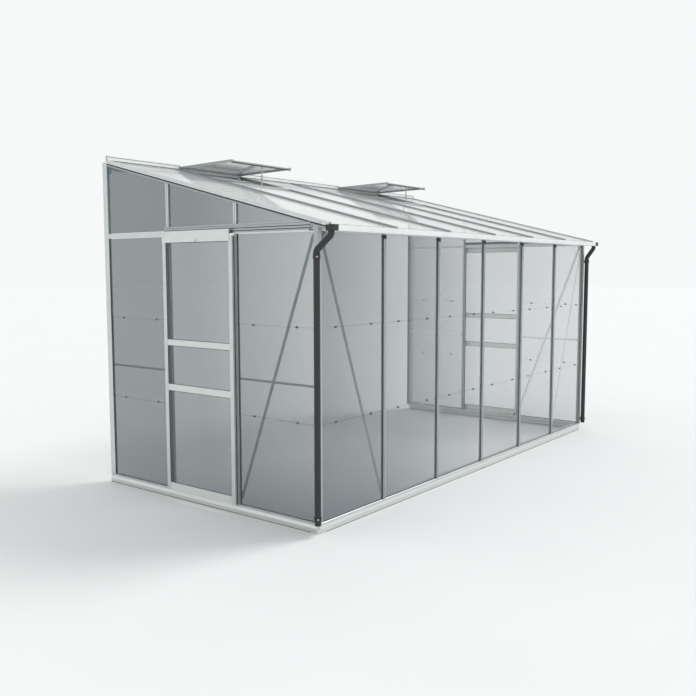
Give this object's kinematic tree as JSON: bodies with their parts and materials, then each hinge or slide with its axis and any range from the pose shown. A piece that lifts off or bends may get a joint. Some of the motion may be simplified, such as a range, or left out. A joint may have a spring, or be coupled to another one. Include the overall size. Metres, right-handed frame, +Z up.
{
  "type": "lean-to greenhouse",
  "caption": "Aluminium and glass lean-to greenhouse with a single-pitch roof, sliding end doors, open roof vents, a gutter and downpipes on a low steel base.",
  "frame": {"origin": "on the ground, at the middle of the footprint including the gutter outlets", "axes": "+X along the front to the right, +Y back to the house wall, +Z up"},
  "size_m": [3.8306, 1.987, 2.2102],
  "materials": {
    "mill_aluminium": "mill finish, extruded",
    "galvanised_steel": "galvanised, folded",
    "clear_glass": "float glass, polished",
    "black_plastic": "extruded and moulded, satin",
    "nylon": "moulded"
  },
  "bodies": {
    "greenhouse": {"base_connectors": "galvanised_steel", "base_front_left": "galvanised_steel", "base_front_right": "galvanised_steel", "base_left_end": "galvanised_steel", "base_right_end": "galvanised_steel", "corner_gussets": "mill_aluminium", "corner_posts": "mill_aluminium", "eaves_beam": "mill_aluminium", "end_braces": "mill_aluminium", "end_rafters": "mill_aluminium", "flashing": "mill_aluminium", "front_braces": "mill_aluminium", "front_glass": "clear_glass", "front_glazing_bars": "mill_aluminium", "gutter_back": "mill_aluminium", "gutter_floor": "mill_aluminium", "gutter_front": "mill_aluminium", "gutter_outlets": "black_plastic", "left_door_posts": "mill_aluminium", "left_door_track": "mill_aluminium", "left_downpipe": "black_plastic", "left_end_glass": "clear_glass", "left_gable_glass": "clear_glass", "left_transoms": "mill_aluminium", "mid_bars": "mill_aluminium", "pipe_clips": "black_plastic", "right_door_posts": "mill_aluminium", "right_door_track": "mill_aluminium", "right_downpipe": "black_plastic", "right_end_glass": "clear_glass", "right_gable_glass": "clear_glass", "right_transoms": "mill_aluminium", "roof_bars": "mill_aluminium", "roof_glass": "clear_glass", "sill_front": "mill_aluminium", "sill_left": "mill_aluminium", "sill_right": "mill_aluminium", "swan_necks": "black_plastic", "vent_cross_rails": "mill_aluminium", "vent_glass": "clear_glass", "vent_hinge_bars": "mill_aluminium", "vent_side_rails": "mill_aluminium", "vent_sills": "mill_aluminium", "vent_stays": "mill_aluminium", "wall_plate": "mill_aluminium", "wall_posts": "mill_aluminium"},
    "left_door": {"left_door_glass": "clear_glass", "left_door_header": "mill_aluminium", "left_door_rails": "mill_aluminium", "left_door_rollers": "nylon", "left_door_stiles": "mill_aluminium"},
    "right_door": {"right_door_glass": "clear_glass", "right_door_header": "mill_aluminium", "right_door_rails": "mill_aluminium", "right_door_rollers": "nylon", "right_door_stiles": "mill_aluminium"}
  },
  "joints": [
    {"name": "left_door_slide", "type": "slide", "parent": "greenhouse", "child": "left_door", "axis": [0, -1, 0], "range_m": [0, 0.582]},
    {"name": "right_door_slide", "type": "slide", "parent": "greenhouse", "child": "right_door", "axis": [0, -1, 0], "range_m": [0, 0.582]}
  ]
}
